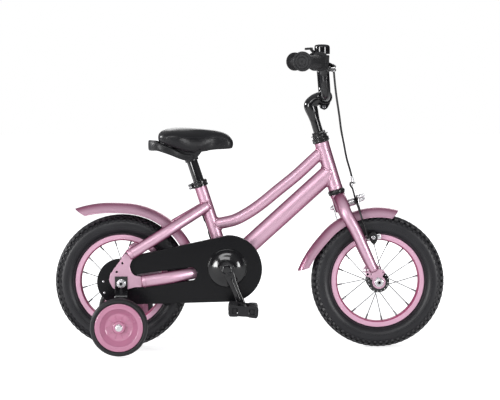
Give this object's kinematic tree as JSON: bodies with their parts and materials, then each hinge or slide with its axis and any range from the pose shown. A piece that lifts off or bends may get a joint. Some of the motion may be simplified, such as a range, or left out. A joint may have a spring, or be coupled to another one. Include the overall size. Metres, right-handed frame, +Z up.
{
  "type": "kids bike",
  "caption": "Small child's bicycle with a curved step-through frame, spoked wheels, closed chain case, mudguards, front rim brake and a pair of bolted-on stabiliser wheels.",
  "frame": {"origin": "on the ground, midway between the front and rear wheels, in the bicycle's centre plane", "axes": "+X forwards, +Y to the rider's left, +Z up"},
  "size_m": [0.905, 0.4642, 0.7066],
  "materials": {
    "frame_paint": "pink metallic lacquer, semi-gloss",
    "rim_paint": "pale pink enamel, satin",
    "pink_plastic": "moulded pink plastic, satin",
    "black_paint": "black powder coat, semi-gloss",
    "black_plastic": "black moulded plastic, satin",
    "cable_plastic": "black cable housing, semi-gloss",
    "black_rubber": "black soft rubber, matt",
    "tyre_rubber": "black tyre rubber, matt",
    "saddle_vinyl": "black vinyl, fine grain",
    "bright_steel": "bright plated steel",
    "steel": "plain zinc-plated steel"
  },
  "bodies": {
    "frame_set": {"frame": "frame_paint", "headset_lower_cup": "black_paint", "headset_upper_cup": "black_paint", "bottom_bracket": "steel", "seat_clamp": "black_paint", "chain_case_outer": "black_plastic", "chain_case_inner": "black_plastic", "chain": "steel", "rear_fender": "frame_paint", "rear_axle": "steel", "rear_axle_nut_right": "bright_steel", "rear_axle_nut_left": "bright_steel", "brake_arm": "steel", "stabiliser_bracket_right": "black_paint", "stabiliser_bracket_left": "black_paint"},
    "seat_column": {"seat_post": "black_paint", "saddle_clamp": "black_paint"},
    "seat": {"saddle_rails": "black_paint", "saddle_base": "black_plastic", "saddle_cover": "saddle_vinyl"},
    "rear_wheel": {"rear_tyre": "tyre_rubber", "rear_rim": "rim_paint", "rear_hub": "black_paint"},
    "driver": {"rear_sprocket": "steel"},
    "crankset": {"crank_axle": "steel", "chainring": "steel", "crank_right": "black_paint", "crank_left": "black_paint", "pedal_axle_right": "steel", "pedal_axle_left": "steel"},
    "right_pedal": {"pedal_right": "black_plastic"},
    "left_pedal": {"pedal_left": "black_plastic"},
    "right_stabiliser": {"stabiliser_tyre_right": "tyre_rubber", "stabiliser_wheel_right": "pink_plastic"},
    "left_stabiliser": {"stabiliser_tyre_left": "tyre_rubber", "stabiliser_wheel_left": "pink_plastic"},
    "fork_set": {"fork": "frame_paint", "headset_locknut": "black_paint", "brake_pivot_bolt": "bright_steel", "front_fender": "frame_paint", "front_axle": "steel", "front_axle_nut_right": "bright_steel", "front_axle_nut_left": "bright_steel"},
    "front_wheel": {"front_tyre": "tyre_rubber", "front_rim": "rim_paint", "front_hub": "black_paint"},
    "right_caliper": {"caliper_arm_right": "bright_steel", "brake_pad_right": "black_rubber"},
    "left_caliper": {"caliper_arm_left": "bright_steel", "brake_pad_left": "black_rubber"},
    "cockpit": {"stem": "black_paint", "handlebar": "black_paint", "grip_right": "black_rubber", "grip_left": "black_rubber", "brake_lever_bracket": "black_plastic", "bell": "black_paint", "brake_cable": "cable_plastic"},
    "hand_lever": {"brake_lever": "black_paint"},
    "thumb_lever": {"bell_lever": "black_plastic"}
  },
  "joints": [
    {"name": "steering", "type": "hinge", "parent": "frame_set", "child": "fork_set", "pos_m": [0.1998, 0, 0.368], "axis": [-0.2924, 0, 0.9563], "range_deg": [-60, 60]},
    {"name": "stem_height", "type": "slide", "parent": "fork_set", "child": "cockpit", "axis": [-0.2924, 0, 0.9563], "range_m": [0, 0.03]},
    {"name": "seat_height", "type": "slide", "parent": "frame_set", "child": "seat_column", "axis": [-0.3128, 0, 0.9498], "range_m": [-0.02, 0.06]},
    {"name": "saddle_tilt", "type": "hinge", "parent": "seat_column", "child": "seat", "pos_m": [-0.14291, 0, 0.45894], "axis": [0, 1, 0], "range_deg": [-8, 8]},
    {"name": "rear_wheel_spin", "type": "hinge", "parent": "frame_set", "child": "rear_wheel", "pos_m": [-0.2975, 0, 0.155], "axis": [0, 1, 0], "continuous": true},
    {"name": "front_wheel_spin", "type": "hinge", "parent": "fork_set", "child": "front_wheel", "pos_m": [0.2975, 0, 0.155], "axis": [0, 1, 0], "continuous": true},
    {"name": "crank_spin", "type": "hinge", "parent": "frame_set", "child": "crankset", "pos_m": [-0.054, 0, 0.189], "axis": [0, 1, 0], "continuous": true},
    {"name": "sprocket_spin", "type": "hinge", "parent": "frame_set", "child": "driver", "pos_m": [-0.2975, 0, 0.155], "axis": [0, 1, 0], "continuous": true},
    {"name": "pedal_right_spin", "type": "hinge", "parent": "crankset", "child": "right_pedal", "pos_m": [-0.01765, -0.1255, 0.10123], "axis": [0, 1, 0], "continuous": true},
    {"name": "pedal_left_spin", "type": "hinge", "parent": "crankset", "child": "left_pedal", "pos_m": [-0.09035, 0.1255, 0.27677], "axis": [0, 1, 0], "continuous": true},
    {"name": "stabiliser_right_spin", "type": "hinge", "parent": "frame_set", "child": "right_stabiliser", "pos_m": [-0.2975, -0.186, 0.069], "axis": [0, 1, 0], "continuous": true},
    {"name": "stabiliser_left_spin", "type": "hinge", "parent": "frame_set", "child": "left_stabiliser", "pos_m": [-0.2975, 0.186, 0.069], "axis": [0, 1, 0], "continuous": true},
    {"name": "brake_lever_pull", "type": "hinge", "parent": "cockpit", "child": "hand_lever", "pos_m": [0.1862, -0.105, 0.6501], "axis": [-0.475, 0, -0.88], "range_deg": [0, 15], "stiffness_Nm_per_rad": 1, "springref_deg": -5.73},
    {"name": "caliper_right_close", "type": "hinge", "parent": "fork_set", "child": "right_caliper", "pos_m": [0.2115, 0, 0.32975], "axis": [0.9563, 0, 0.2924], "range_deg": [0, 1]},
    {"name": "caliper_left_close", "type": "hinge", "parent": "fork_set", "child": "left_caliper", "pos_m": [0.2115, 0, 0.32975], "axis": [0.9563, 0, 0.2924], "range_deg": [-1, 0]},
    {"name": "bell_lever_push", "type": "hinge", "parent": "cockpit", "child": "thumb_lever", "pos_m": [0.1722, 0.095, 0.6811], "axis": [0, 0, 1], "range_deg": [0, 25], "stiffness_Nm_per_rad": 0.05, "springref_deg": -11.46}
  ],
  "couplings": [
    {"joint": "sprocket_spin", "follows": "crank_spin", "ratio": 1.75},
    {"joint": "caliper_right_close", "follows": "brake_lever_pull", "ratio": 0.065},
    {"joint": "caliper_left_close", "follows": "brake_lever_pull", "ratio": -0.065}
  ]
}
